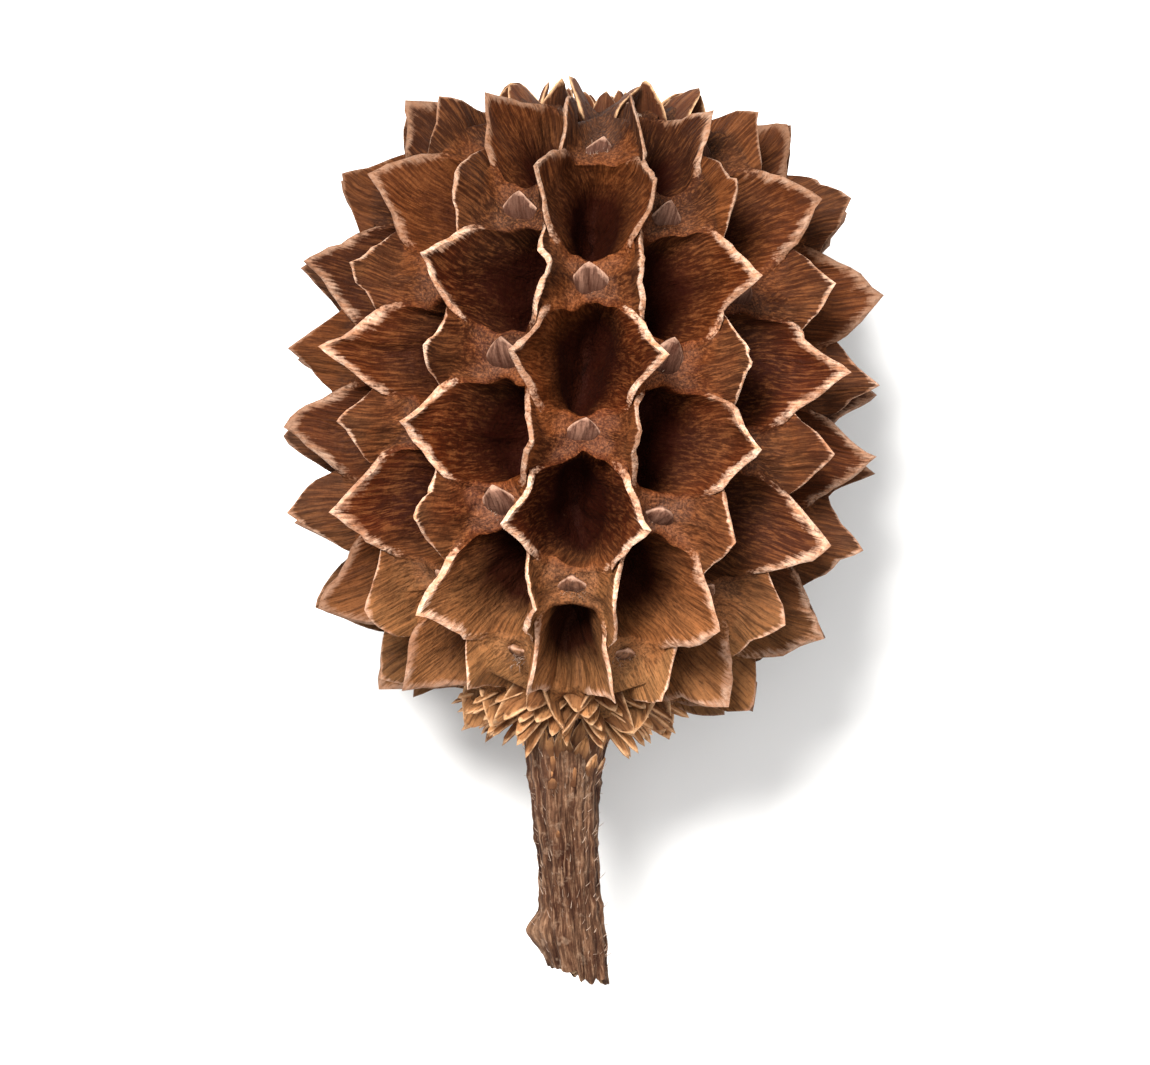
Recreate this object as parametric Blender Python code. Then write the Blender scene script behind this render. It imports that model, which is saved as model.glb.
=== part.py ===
"""A dry, opened casuarina cone with its stalk, lying on its side.

The woody head is a barrel covered with mouths in 16 columns. Each mouth is a cup between two valves, one on
either side, whose pointed tips stand well out. The mouths of neighbouring columns are half a step apart, so
the cells fit together like a honeycomb and the tips make a saw-toothed outline. The stalk is a thin rough twig.

The long axis lies along Y with the stalk towards -Y, and +Z is up. Sizes are in millimetres, and the meshes
are made in metres.
"""

import math
import random

import bmesh
import bpy
from mathutils import Vector

MM = 0.001

# The woody body between the valves: a barrel, squarer at the apex than at the stalk
BODY_RADIUS = 4.52
BODY_BASE_LENGTH = 6.3
BODY_APEX_LENGTH = 6.9
BASE_SQUARENESS = 2.2
APEX_SQUARENESS = 2.8
MERIDIAN_STEPS = 400

# The honeycomb of mouths
COLUMNS = 16
LEVELS = 10
FIRST_LEVEL_ARC = 1.75
LAST_LEVEL_ARC = 1.8
TIP_REACH = 0.6
UP = COLUMNS // 4

# The valves, which stand out from the body
TIP_HEIGHT = 2.15
TIP_LOSS_AT_ENDS = 0.62
FULLEST_PLACE = 0.5
CROSSING_HEIGHT = 0.52
BRACT_HEIGHT = 0.3

# The cup inside each mouth, from its rim down: how far each ring lies out from the middle of the cell towards
# the cell's edge at the tip, on the slope, in the corner and at the bract, then its height as a share of the tip's
RIM_SPREAD = {"tip": 0.84, "slope": 0.8, "corner": 0.66, "bract": 0.76}
RIM_HEIGHT = {"tip": 0.88, "slope": 0.45, "corner": 0.16, "bract": 0.04}
CUP_RINGS = ((1.0, 1.0, 0.0), (0.9, 0.42, 0.1), (0.78, 0.0, 0.45), (0.55, 0.0, 0.85))
CUP_DEPTH = 2.0
DEPTH_BY_RADIUS = 0.5

# How far one valve differs from the next
SEED = 27
TURN_JITTER = 0.045
ALONG_JITTER = 0.12
HEIGHT_JITTER = 0.05

# The ends of the head
BASE_RIM_RADIUS = 1.2
SOCKET_RADIUS = 1.15
SOCKET_DEPTH = 0.7
APEX_WHORLS = ((1.4, 0.36), (0.92, 0.3))
APEX_WHORL_FOOT = 0.2
APEX_EYE_RADIUS = 0.4
APEX_DIP = 0.25
END_SCALE_HEIGHT = 0.1

# The flat spot that it rests on: the lowest tips are cut off level
FLAT_CUT = 0.45

# The stalk: its middle line leans to +X, and its radius is given at places along it
STALK_GAP = 0.3
STALK_LENGTH = 6.1
STALK_LEAN = 0.6
STALK_DROOP = 0.25
STALK_SIDES = 16
STALK_RINGS = 14
STALK_RADII = ((0.0, 0.8), (0.1, 0.96), (0.24, 0.82), (0.4, 0.7), (0.7, 0.66), (0.86, 0.72), (1.0, 0.66))
STALK_RIB = 0.07
STALK_END_SLANT = 0.18
KNOT_PLACE = 0.87
KNOT_LENGTH = 0.06
KNOT_HEIGHT = 0.3
KNOT_TURN = math.pi

WOOD_COLOUR = (0.19, 0.085, 0.036, 1.0)
STALK_COLOUR = (0.13, 0.08, 0.05, 1.0)


def clear_scene():
    for thing in list(bpy.data.objects):
        bpy.data.objects.remove(thing)


def meridian_points():
    """The body's outline from the stalk end to the apex, as (radius, along) pairs."""
    points = []
    for step in range(MERIDIAN_STEPS + 1):
        angle = math.pi * (step / MERIDIAN_STEPS - 0.5)
        squareness = BASE_SQUARENESS if angle < 0 else APEX_SQUARENESS
        reach = BODY_BASE_LENGTH if angle < 0 else BODY_APEX_LENGTH
        radius = BODY_RADIUS * max(0.0, math.cos(angle)) ** (2 / squareness)
        along = reach * math.copysign(abs(math.sin(angle)) ** (2 / squareness), angle)
        points.append(Vector((radius, along)))
    return points


class Body:
    """The barrel that the mouths sit on. A place on it is a turn round the axis, in columns, and an arc length."""

    def __init__(self):
        self.points = meridian_points()
        self.arcs = [0.0]
        for before, after in zip(self.points, self.points[1:]):
            self.arcs.append(self.arcs[-1] + (after - before).length)
        self.length = self.arcs[-1]

    def outline(self, arc):
        """The outline's point at an arc length, and the direction straight out from it."""
        arc = min(max(arc, 0.0), self.length)
        step = next((i for i in range(1, len(self.arcs)) if self.arcs[i] >= arc), len(self.arcs) - 1)
        before, after = self.points[step - 1], self.points[step]
        share = (arc - self.arcs[step - 1]) / (self.arcs[step] - self.arcs[step - 1])
        wide = 8
        low, high = self.points[max(step - wide, 0)], self.points[min(step + wide, len(self.points) - 1)]
        run = (high - low).normalized()
        return before.lerp(after, share), Vector((run.y, -run.x))

    def place(self, turn, arc, height):
        """The point in space over a place on the body."""
        point, out = self.outline(arc)
        radius = point.x + out.x * height
        along = point.y + out.y * height
        angle = 2 * math.pi * turn / COLUMNS
        return Vector((radius * math.cos(angle), along, radius * math.sin(angle)))


def has_mouth(column, level):
    """True where a mouth, or at the ends half of one, has its middle. The column on top has the odd levels."""
    return (column + level - UP) % 2 == 1


def level_arc(body, level):
    span = body.length - FIRST_LEVEL_ARC - LAST_LEVEL_ARC
    return FIRST_LEVEL_ARC + span * level / (LEVELS - 1)


def tip_height(level):
    place = level / (LEVELS - 1)
    return TIP_HEIGHT * (1 - TIP_LOSS_AT_ENDS * (abs(place - FULLEST_PLACE) / FULLEST_PLACE) ** 3)


def valve_tips(body):
    """The (turn, arc, height) of every valve's tip, by (level, column, side)."""
    rng = random.Random(SEED)
    tips = {}
    for level in range(LEVELS):
        for column in range(COLUMNS):
            if not has_mouth(column, level):
                continue
            for side in (-1, 1):
                turn = column + side * TIP_REACH + rng.uniform(-TURN_JITTER, TURN_JITTER)
                arc = level_arc(body, level) + rng.uniform(-ALONG_JITTER, ALONG_JITTER)
                height = tip_height(level) * (1 + rng.uniform(-HEIGHT_JITTER, HEIGHT_JITTER))
                tips[level, column, side] = (turn, arc, height)
    return tips


def next_to(turn, column):
    """The same turn, counted so that it lies next to this column."""
    return turn - COLUMNS * round((turn - column) / COLUMNS)


class Head:
    """The mesh of the head while it is built, with the points that neighbouring cells share."""

    def __init__(self, body, tips):
        self.body = body
        self.tips = tips
        self.mesh = bmesh.new()
        self.shared = {}

    def vertex(self, key, place):
        """The vertex at a place, made once for each key."""
        if key not in self.shared:
            self.shared[key] = self.mesh.verts.new(self.body.place(*place) * MM)
        return self.shared[key]

    def tip(self, level, column, side):
        name = (level, column % COLUMNS, side)
        return ("tip",) + name, self.tips[name]

    def slope(self, one, other):
        """The notch in the wall between the tips of two neighbouring valves."""
        (name_a, a), (name_b, b) = sorted((one, other))
        turn = (a[0] + next_to(b[0], a[0])) / 2
        return ("slope", name_a, name_b), (turn, (a[1] + b[1]) / 2, CROSSING_HEIGHT * (a[2] + b[2]) / 2)

    def bract(self, level, column):
        """The small pad between a mouth and the next one in its column."""
        column %= COLUMNS
        return ("bract", level, column), (column, level_arc(self.body, level), BRACT_HEIGHT)

    def half_edge(self, column, level, way):
        """The edge of a cell from its right tip over one end to its left tip, towards the apex or the stalk."""
        right, left = self.tip(level, column, 1), self.tip(level, column, -1)
        far_right = self.tip(level + way, column + 1, -1)
        far_left = self.tip(level + way, column - 1, 1)
        return [
            ("tip", right),
            ("slope", self.slope(right, far_right)),
            ("corner", far_right),
            ("bract", self.bract(level + way, column)),
            ("corner", far_left),
            ("slope", self.slope(left, far_left)),
            ("tip", left),
        ]

    def fan(self, middle, ring):
        for one, other in zip(ring, ring[1:]):
            self.mesh.faces.new((middle, one, other))

    def band(self, outer, inner):
        """The faces between two closed rings with as many points."""
        count = len(outer)
        for i in range(count):
            following = (i + 1) % count
            self.mesh.faces.new((outer[i], outer[following], inner[following], inner[i]))

    def mouth(self, column, level):
        """One mouth: its cell's edge, the cup's rings and the cup's floor."""
        far = self.half_edge(column, level, 1)
        near = self.half_edge(column, level, -1)
        edge = far + near[-2:0:-1]
        arc = level_arc(self.body, level)
        point, _ = self.body.outline(arc)
        depth = min(CUP_DEPTH, DEPTH_BY_RADIUS * point.x)
        height = tip_height(level)
        outer = [self.vertex(*key_place) for _, key_place in edge]
        for spread, rise, sink in CUP_RINGS:
            inner = []
            for kind, (_, (turn, edge_arc, _)) in edge:
                out = RIM_SPREAD[kind] * spread
                turn = column + out * (next_to(turn, column) - column)
                ring_arc = arc + out * (edge_arc - arc)
                ring_height = RIM_HEIGHT[kind] * rise * height - sink * depth
                inner.append(self.mesh.verts.new(self.body.place(turn, ring_arc, ring_height) * MM))
            self.band(outer, inner)
            outer = inner
        floor = self.mesh.verts.new(self.body.place(column, arc, -depth) * MM)
        self.fan(floor, outer + outer[:1])

    def half_mouth(self, column, level, way):
        """A small closed scale at an end, where the next mouth of the column would be."""
        edge = [self.vertex(*key_place) for _, key_place in self.half_edge(column, level, way)]
        arc = level_arc(self.body, level)
        middle = self.vertex(("middle", level, column), (column, arc, END_SCALE_HEIGHT))
        self.fan(middle, edge)

    def end_ring(self, level):
        """The open edge left at an end, in order round the axis."""
        ring = []
        for column in range(COLUMNS):
            if has_mouth(column, level):
                ring.append(self.vertex(*self.tip(level, column, -1)))
                ring.append(self.shared["middle", level, column])
                ring.append(self.vertex(*self.tip(level, column, 1)))
            else:
                ring.append(self.vertex(*self.bract(level, column)))
        return ring

    def ring_like(self, ring, radius, along):
        """A plain ring round the axis with a point beside each of the given ring's."""
        made = []
        for vertex in ring:
            angle = math.atan2(vertex.co.z, vertex.co.x)
            point = Vector((radius * math.cos(angle), along, radius * math.sin(angle)))
            made.append(self.mesh.verts.new(point * MM))
        return made

    def whorls(self, outer):
        """The rings of small closed scales near the apex, each given by its arc from the apex and its height."""
        for number, (arc, height) in enumerate(APEX_WHORLS):
            for from_apex, tallest in ((arc, height), (arc - APEX_WHORL_FOOT, 0.0)):
                inner = []
                for index, vertex in enumerate(outer):
                    turn = COLUMNS * math.atan2(vertex.co.z, vertex.co.x) / (2 * math.pi)
                    rise = tallest * ((index + number) % 2)
                    point = self.body.place(turn, self.body.length - from_apex, rise)
                    inner.append(self.mesh.verts.new(point * MM))
                self.band(outer, inner)
                outer = inner
        return outer

    def close_end(self, outer, rings):
        """Closes an end with plain rings of (radius, along), the last of them a point on the axis."""
        for radius, along in rings[:-1]:
            inner = self.ring_like(outer, radius, along)
            self.band(outer, inner)
            outer = inner
        middle = self.mesh.verts.new(Vector((0.0, rings[-1][1], 0.0)) * MM)
        self.fan(middle, outer + outer[:1])


def material(name, colour, roughness):
    made = bpy.data.materials.new(name)
    made.use_nodes = True
    shader = made.node_tree.nodes["Principled BSDF"]
    shader.inputs["Base Color"].default_value = colour
    shader.inputs["Roughness"].default_value = roughness
    shader.inputs["Metallic"].default_value = 0.0
    return made


def object_from(mesh, name, look):
    """A named object in the scene from a bmesh, all triangles, with its faces pointing out."""
    bmesh.ops.triangulate(mesh, faces=mesh.faces)
    bmesh.ops.recalc_face_normals(mesh, faces=mesh.faces)
    data = bpy.data.meshes.new(name)
    mesh.to_mesh(data)
    mesh.free()
    data.materials.append(look)
    made = bpy.data.objects.new(name, data)
    bpy.context.scene.collection.objects.link(made)
    return made


def cut_flat(mesh):
    """Cuts the lowest tips off level, so that the head rests on them. Returns the height of the cut."""
    height = min(vertex.co.z for vertex in mesh.verts) + FLAT_CUT * MM
    everything = mesh.verts[:] + mesh.edges[:] + mesh.faces[:]
    bmesh.ops.bisect_plane(
        mesh, geom=everything, dist=1e-9, plane_co=(0, 0, height), plane_no=(0, 0, -1), clear_outer=True
    )
    open_edges = [edge for edge in mesh.edges if edge.is_boundary]
    bmesh.ops.holes_fill(mesh, edges=open_edges, sides=0)
    return height


def make_head():
    body = Body()
    head = Head(body, valve_tips(body))
    last = LEVELS - 1
    for column in range(COLUMNS):
        for level in range(1, last):
            if has_mouth(column, level):
                head.mouth(column, level)
        if has_mouth(column, 0):
            head.half_mouth(column, 0, 1)
        if has_mouth(column, last):
            head.half_mouth(column, last, -1)
    base = -BODY_BASE_LENGTH
    socket = base + SOCKET_DEPTH
    head.close_end(head.end_ring(0), ((BASE_RIM_RADIUS, base), (SOCKET_RADIUS, socket), (0.0, socket)))
    apex = BODY_APEX_LENGTH
    head.close_end(head.whorls(head.end_ring(last)), ((APEX_EYE_RADIUS, apex), (0.0, apex - APEX_DIP)))
    bmesh.ops.triangulate(head.mesh, faces=head.mesh.faces)
    floor = cut_flat(head.mesh)
    return object_from(head.mesh, "cone", material("cone_wood", WOOD_COLOUR, 0.7)), floor


def blend_radius(share):
    """The stalk's radius at a share of its length, on straight lines between the given places."""
    for (start, first), (end, second) in zip(STALK_RADII, STALK_RADII[1:]):
        if share <= end:
            return first + (second - first) * (share - start) / (end - start)
    return STALK_RADII[-1][1]


def knot(share, angle):
    """The height of the broken knot on the stalk's side."""
    along = (share - KNOT_PLACE) / KNOT_LENGTH
    around = math.remainder(angle - KNOT_TURN, 2 * math.pi)
    return KNOT_HEIGHT * math.exp(-along * along - 4 * around * around)


def make_stalk():
    mesh = bmesh.new()
    top = -BODY_BASE_LENGTH + SOCKET_DEPTH - STALK_GAP
    rings = []
    for step in range(STALK_RINGS):
        share = step / (STALK_RINGS - 1)
        middle = Vector((STALK_LEAN * share * share, top - STALK_LENGTH * share, -STALK_DROOP * share))
        ring = []
        for side in range(STALK_SIDES):
            angle = 2 * math.pi * side / STALK_SIDES
            rib = 1 + STALK_RIB * (-1) ** side
            radius = blend_radius(share) * rib + knot(share, angle)
            slant = STALK_END_SLANT * math.cos(angle) * share ** 8
            offset = Vector((radius * math.cos(angle), -slant, radius * math.sin(angle)))
            ring.append(mesh.verts.new((middle + offset) * MM))
        rings.append(ring)
    for outer, inner in zip(rings, rings[1:]):
        for side in range(STALK_SIDES):
            following = (side + 1) % STALK_SIDES
            mesh.faces.new((outer[side], outer[following], inner[following], inner[side]))
    mesh.faces.new(rings[0])
    mesh.faces.new(rings[-1])
    return object_from(mesh, "stalk", material("stalk_bark", STALK_COLOUR, 0.85))


def stand_on_origin(parts, floor):
    """Moves the parts together, so that the middle of their box is over the origin and the flat at height 0."""
    points = [vertex.co for part in parts for vertex in part.data.vertices]
    middle_x = (min(p.x for p in points) + max(p.x for p in points)) / 2
    middle_y = (min(p.y for p in points) + max(p.y for p in points)) / 2
    for part in parts:
        part.location = (-middle_x, -middle_y, -floor)


def main():
    clear_scene()
    head, floor = make_head()
    stalk = make_stalk()
    stand_on_origin((head, stalk), floor)


main()
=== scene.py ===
import math
import random

import bmesh
import bpy
import numpy as np
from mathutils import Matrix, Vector, noise


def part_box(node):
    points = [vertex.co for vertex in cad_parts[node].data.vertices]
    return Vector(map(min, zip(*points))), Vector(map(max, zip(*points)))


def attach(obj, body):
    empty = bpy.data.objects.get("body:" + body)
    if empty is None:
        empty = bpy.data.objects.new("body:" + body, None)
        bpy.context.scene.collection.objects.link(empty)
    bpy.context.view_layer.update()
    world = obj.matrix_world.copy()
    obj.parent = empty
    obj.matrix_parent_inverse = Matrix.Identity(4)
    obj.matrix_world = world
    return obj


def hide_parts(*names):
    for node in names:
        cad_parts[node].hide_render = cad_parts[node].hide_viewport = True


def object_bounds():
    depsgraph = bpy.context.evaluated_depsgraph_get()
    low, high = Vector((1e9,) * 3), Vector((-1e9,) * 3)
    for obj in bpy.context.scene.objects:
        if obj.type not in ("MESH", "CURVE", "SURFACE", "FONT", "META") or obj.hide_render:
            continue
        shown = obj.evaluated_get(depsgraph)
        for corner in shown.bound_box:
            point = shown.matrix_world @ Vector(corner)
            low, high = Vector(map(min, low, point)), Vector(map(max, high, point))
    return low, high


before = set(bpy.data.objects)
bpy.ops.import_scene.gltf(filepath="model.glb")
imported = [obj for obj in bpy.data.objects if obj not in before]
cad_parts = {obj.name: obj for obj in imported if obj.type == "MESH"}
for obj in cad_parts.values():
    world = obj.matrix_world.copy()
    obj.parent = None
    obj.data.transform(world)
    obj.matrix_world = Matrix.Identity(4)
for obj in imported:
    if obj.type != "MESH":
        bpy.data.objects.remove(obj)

# The look of a dry, opened casuarina cone. Sizes are in millimetres, turned to metres when a mesh is made.
# The cone's long axis lies along Y with the stalk towards -Y. The numbers in this first group are those of
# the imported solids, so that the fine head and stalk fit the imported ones, valve by valve.

MM = 0.001
cad_low, cad_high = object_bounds()

BODY_RADIUS = 4.52
BODY_BASE_LENGTH = 6.3
BODY_APEX_LENGTH = 6.9
BASE_SQUARENESS = 2.2
APEX_SQUARENESS = 2.8
MERIDIAN_STEPS = 400
COLUMNS = 16
LEVELS = 10
FIRST_LEVEL_ARC = 1.75
LAST_LEVEL_ARC = 1.8
TIP_REACH = 0.6
UP = COLUMNS // 4
TIP_HEIGHT = 2.15
TIP_LOSS_AT_ENDS = 0.62
FULLEST_PLACE = 0.5
SEED = 27
TURN_JITTER = 0.045
ALONG_JITTER = 0.12
HEIGHT_JITTER = 0.05
CUP_DEPTH = 2.0
DEPTH_BY_RADIUS = 0.5
STALK_TOP = -BODY_BASE_LENGTH + 0.4
STALK_LENGTH = 6.1
STALK_LEAN = 0.6
STALK_DROOP = 0.25
STALK_RADII = ((0.0, 0.8), (0.1, 0.96), (0.24, 0.82), (0.4, 0.7), (0.7, 0.66), (0.86, 0.72), (1.0, 0.66))
KNOT_PLACE = 0.87
KNOT_LENGTH = 0.06
KNOT_HEIGHT = 0.3
KNOT_TURN = math.pi

# The fine mesh of a mouth: steps along a sloping side of its cell and along the short side at a bract
SLOPE_STEPS = 12
BRACT_STEPS = 12

# The valves: how high the rim stays at the ends of a mouth, as a share of the tip's height, and how steeply
# it falls from the tip, there and at the ends of the head; how high the groove starts under a tip and how
# steeply it falls to a bract's pad; how high that pad is, how deep the groove is, and how steep a foot is
LOW_RIM = 0.1
RIM_FALL = 1.18
END_RIM_FALL = 2.1
KEEL = 0.46
KEEL_FALL = 3.4
PAD_HEIGHT = 0.02
GROOVE_DEPTH = 0.22
FOOT_STEEPNESS = 2.8

# How far out each line of the rim lies, at the tip, on the slope, in the corner and at the bract
SHARES = {
    "outer": (1.02, 0.985, 0.74, 0.80),
    "crest": (1.0, 0.95, 0.70, 0.765),
    "inner": (0.945, 0.885, 0.65, 0.725),
}

# The rings round a mouth: up the backs of its valves, as how far out and how high; over their thin edge, as
# how far across, how high and how much of the edge's colour; down the inside, as how far down
OUTER_RINGS = ((0.3, 0.22), (0.62, 0.5), (0.9, 0.78), (1.0, 0.93))
EDGE_RINGS = ((0.45, 0.99, 0.95), (1.0, 1.0, 1.0))
INNER_RINGS = (0.035, 0.09, 0.16, 0.25, 0.35, 0.46, 0.57, 0.68, 0.78, 0.87, 0.94, 0.98)

# How far the edge drops to its inner side, and how much more at a tip; how deep the bites in it are; how far
# a tip bends in or out, as a share of the way to it
EDGE_DROP = 0.05
TIP_DROP = 0.05
BITE_DEPTH = 0.16
TIP_BEND = (-0.06, 0.03)

# The cup: between which shares of its depth it turns round, and its size as shares of the cell's
BLEND_TO_ROUND = (0.1, 0.6)
CUP_HALF_WIDTH = 0.7
CUP_HALF_LENGTH = 0.74

# How the ends of the head close: the radius of each ring and how far it lies inside the end of the body
BASE_END = ((1.3, -0.02), (0.9, -0.05), (0.0, 0.0))
APEX_END = ((1.5, 0.1), (0.8, 0.15), (0.0, 0.25))

# How uneven all of it is: waves per millimetre and how far they swing, with the ribs along the grain
SLOW_WAVES = 0.9
SLOW_SWING = 0.15
RIB_WAVES = 3.0
RIB_SWING = 0.075
QUICK_WAVES = 3.5
QUICK_SWING = 0.02

# The grain runs out from the axis, so places on the grain lie closer than real ones in that direction
GRAIN_SQUEEZE = 0.07
BARK_SQUEEZE = 0.12

# Faces that meet at more than this many degrees have a sharp edge between them
SHARP_ANGLE = 55

# The small scales: the mesh of one, and how thick they are
SCALE_STEPS = 9
SCALE_SIDES = 14
BRACT_THICKNESS = 0.3
END_SCALE_THICKNESS = 0.22
STALK_SCALE_THICKNESS = 0.2

# Whorls of scales: the arc from the end of the body, how many, their lean towards the apex, width, length
APEX_WHORLS = (
    (1.42, 17, 0.3, 0.78, 0.9),
    (1.1, 15, 0.45, 0.7, 0.8),
    (0.78, 12, 0.6, 0.64, 0.72),
    (0.46, 8, 0.7, 0.58, 0.64),
    (0.2, 5, 0.5, 0.44, 0.52),
)
BASE_WHORLS = (
    (1.62, 17, 0.65, 0.8, 1.1),
    (1.46, 16, 0.6, 0.8, 1.2),
    (1.3, 15, 0.5, 0.74, 1.3),
    (1.14, 13, 0.42, 0.7, 1.35),
    (0.98, 12, 0.32, 0.66, 1.4),
    (0.84, 10, 0.2, 0.6, 1.45),
)

# The stalk: its mesh, its ribs, its swollen joints at shares of its length, and the rings of the broken end
STALK_SIDES = 96
STALK_RINGS = 110
STALK_RIBS = 12
STALK_RIB_DEPTH = 0.045
JOINT_PLACES = (0.3, 0.52, 0.74)
JOINT_LENGTH = 0.012
JOINT_HEIGHT = 0.03
BROKEN_END_RINGS = (0.96, 0.88, 0.78, 0.66, 0.54, 0.42, 0.3, 0.18, 0.08)

# Rows of small scales on the stalk: the place along it, how many, length, width and how far they stand off
STALK_SCALE_ROWS = (
    (0.17, 10, 0.8, 0.55, 0.6),
    (0.21, 10, 0.75, 0.5, 0.5),
    (0.26, 9, 0.6, 0.42, 0.4),
    (0.31, 8, 0.5, 0.36, 0.3),
    (0.5, 7, 0.24, 0.26, 0.2),
    (0.76, 6, 0.22, 0.24, 0.2),
)

# The hairs: how thick, how many on the stalk and how many on the pad of each bract
HAIR_THICKNESS = 0.018
STALK_HAIRS = 450
BRACT_HAIRS = 60

# Where painted light and painted shade change the wood's colour, in metres along Y of the row frame, and
# along Z for the last one
PAINTED_LIGHT_TOWARDS_STALK = (-0.0002, -0.0042)
PAINTED_LIGHT_TAN_TOWARDS_STALK = (-0.0005, -0.0042)
PAINTED_SHADE_TOWARDS_APEX = (0.001, 0.0085)
PAINTED_SHADE_RIM_TOWARDS_APEX = (0.004, 0.0085)
PAINTED_SHADE_LOW_DOWN = (0.0112, 0.0062)

# The stage, in metres and degrees
FLOOR_SIZE = 4.0
LIGHTS_AIM = (0.0, 0.0, 0.006)
WORLD_STRENGTH = 0.36
CAMERA_ELEVATION = 88.0
CAMERA_ROLL = 3.3
CAMERA_DISTANCE = 0.2
VIEW_WIDTH = 0.0252

# Without a seed of its own, noise_vector would start elsewhere in each run
noise.seed_set(SEED)


def rng_for(*numbers):
    """A random generator of its own for each thing, so that one draw never moves another."""
    seed = SEED
    for number in numbers:
        seed = seed * 1009 + int(number) + 501
    return random.Random(seed)


def smooth(value, low=0.0, high=1.0):
    share = np.clip((np.asarray(value, float) - low) / (high - low), 0.0, 1.0)
    return share * share * (3 - 2 * share)


def mix(one, other, share):
    return one + (other - one) * share


class Body:
    """The barrel that the mouths sit on, by turn round the axis in columns and by arc length."""

    def __init__(self):
        angle = np.pi * (np.arange(MERIDIAN_STEPS + 1) / MERIDIAN_STEPS - 0.5)
        power = 2 / np.where(angle < 0, BASE_SQUARENESS, APEX_SQUARENESS)
        reach = np.where(angle < 0, BODY_BASE_LENGTH, BODY_APEX_LENGTH)
        self.radius = BODY_RADIUS * np.maximum(0.0, np.cos(angle)) ** power
        self.along = reach * np.sign(angle) * np.abs(np.sin(angle)) ** power
        steps = np.hypot(np.diff(self.radius), np.diff(self.along))
        self.arc = np.concatenate(([0.0], np.cumsum(steps)))
        self.length = self.arc[-1]
        index = np.arange(MERIDIAN_STEPS + 1)
        # The outward direction at a step is square to the line between two steps some way to its sides
        low, high = np.maximum(index - 8, 0), np.minimum(index + 8, MERIDIAN_STEPS)
        run_r = self.radius[high] - self.radius[low]
        run_y = self.along[high] - self.along[low]
        size = np.hypot(run_r, run_y)
        self.out_r, self.out_y = run_y / size, -run_r / size

    def place(self, turn, arc, height):
        """Points in space over places on the body, as an array of x, y, z in the body's own frame."""
        turn, arc, height = np.broadcast_arrays(*(np.asarray(v, float) for v in (turn, arc, height)))
        radius = np.interp(arc, self.arc, self.radius) + np.interp(arc, self.arc, self.out_r) * height
        along = np.interp(arc, self.arc, self.along) + np.interp(arc, self.arc, self.out_y) * height
        angle = 2 * np.pi * turn / COLUMNS
        return np.stack((radius * np.cos(angle), along, radius * np.sin(angle)), axis=-1)

    def directions(self, turn, arc):
        """Unit vectors at a place: straight out, round the axis, and along the body towards the apex."""
        angle = 2 * math.pi * turn / COLUMNS
        out_r = float(np.interp(arc, self.arc, self.out_r))
        out_y = float(np.interp(arc, self.arc, self.out_y))
        out = Vector((out_r * math.cos(angle), out_y, out_r * math.sin(angle))).normalized()
        side = Vector((-math.sin(angle), 0.0, math.cos(angle)))
        along = Vector((-out_y * math.cos(angle), out_r, -out_y * math.sin(angle))).normalized()
        return out, side, along


def has_mouth(column, level):
    return (column + level - UP) % 2 == 1


def pads():
    """The level and column of each pad between two mouths of a column."""
    for level in range(LEVELS):
        for column in range(COLUMNS):
            if not has_mouth(column, level):
                yield level, column


def level_arc(level):
    span = body.length - FIRST_LEVEL_ARC - LAST_LEVEL_ARC
    return FIRST_LEVEL_ARC + span * level / (LEVELS - 1)


def tip_height(level):
    place = level / (LEVELS - 1)
    return TIP_HEIGHT * (1 - TIP_LOSS_AT_ENDS * (abs(place - FULLEST_PLACE) / FULLEST_PLACE) ** 3)


def valve_tips():
    """The (turn, arc, height) of every valve's tip, by (level, column, side), drawn as in the solids."""
    rng = random.Random(SEED)
    tips = {}
    for level in range(LEVELS):
        for column in range(COLUMNS):
            if not has_mouth(column, level):
                continue
            for side in (-1, 1):
                turn = column + side * TIP_REACH + rng.uniform(-TURN_JITTER, TURN_JITTER)
                arc = level_arc(level) + rng.uniform(-ALONG_JITTER, ALONG_JITTER)
                height = tip_height(level) * (1 + rng.uniform(-HEIGHT_JITTER, HEIGHT_JITTER))
                tips[level, column, side] = (turn, arc, height)
    return tips


def next_to(turn, column):
    return turn - COLUMNS * round((turn - column) / COLUMNS)


body = Body()
tips = valve_tips()


def frame_shift():
    """What brings the body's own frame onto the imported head, found from the outermost valve tips."""
    points = body.place(*np.array(list(tips.values())).T)
    _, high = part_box("cone")
    return np.array([c / MM for c in high]) - points.max(axis=0)


SHIFT = frame_shift()


def in_frame(points):
    """Points of the body's own frame in the row frame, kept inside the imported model's box."""
    low = np.array([c / MM for c in cad_low])
    high = np.array([c / MM for c in cad_high])
    return np.clip(np.asarray(points) + SHIFT, low, high)


def unevenness(point, grain):
    """How far a point of grown wood lies from its regular place."""
    slow = noise.noise_vector(point * SLOW_WAVES)
    ribs = noise.noise_vector(grain * RIB_WAVES)
    quick = noise.noise_vector(point * QUICK_WAVES + Vector((7.0, 3.0, 11.0)))
    return SLOW_SWING * slow + RIB_SWING * ribs + QUICK_SWING * quick


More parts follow.
